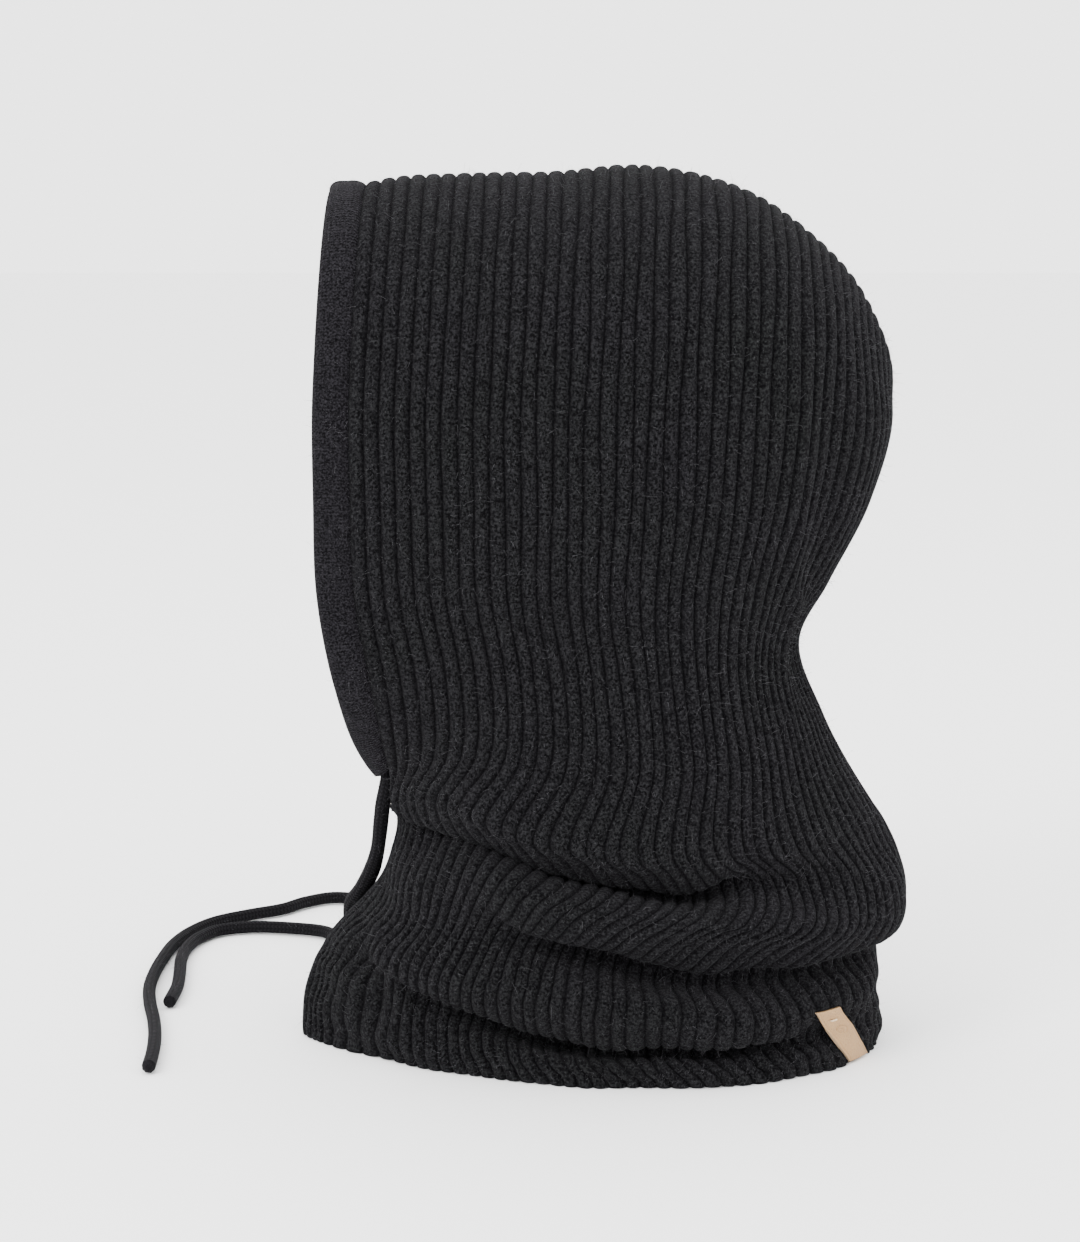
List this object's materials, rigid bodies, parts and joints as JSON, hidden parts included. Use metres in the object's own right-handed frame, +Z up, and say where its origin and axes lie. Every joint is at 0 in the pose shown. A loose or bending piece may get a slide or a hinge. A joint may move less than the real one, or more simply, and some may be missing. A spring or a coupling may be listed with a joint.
{
  "type": "balaclava hood",
  "caption": "Rib-knit balaclava hood with a slouchy snood collar, a drawcord casing round the face and a leather hem tab.",
  "frame": {"origin": "centre of the base, on the surface that the hem rests on", "axes": "+Z up, the face opening looks along -Y, the wearer's left side is +X"},
  "size_m": [0.2899, 0.3286, 0.3622],
  "materials": {
    "rib_knit": "charcoal black brushed wool blend, one by one rib, soft and slightly hairy",
    "plain_knit": "charcoal black fine plain knit, folded double",
    "cord": "charcoal black tubular knitted cord",
    "seam_knit": "charcoal black linked seam allowance",
    "metallic_leather": "champagne gold foiled leather with a fine grain",
    "thread": "waxed sewing thread, matched to the leather",
    "woven_label": "blank black woven satin tape"
  },
  "bodies": {
    "root": {"knit_body": "rib_knit", "face_casing": "plain_knit", "drawcord_run": "cord", "drawcord_left_tail": "cord", "drawcord_right_tail": "cord", "crown_seam": "seam_knit", "front_seam": "seam_knit", "leather_tab": "metallic_leather", "tab_stitch": "thread", "care_label": "woven_label"}
  },
  "joints": []
}
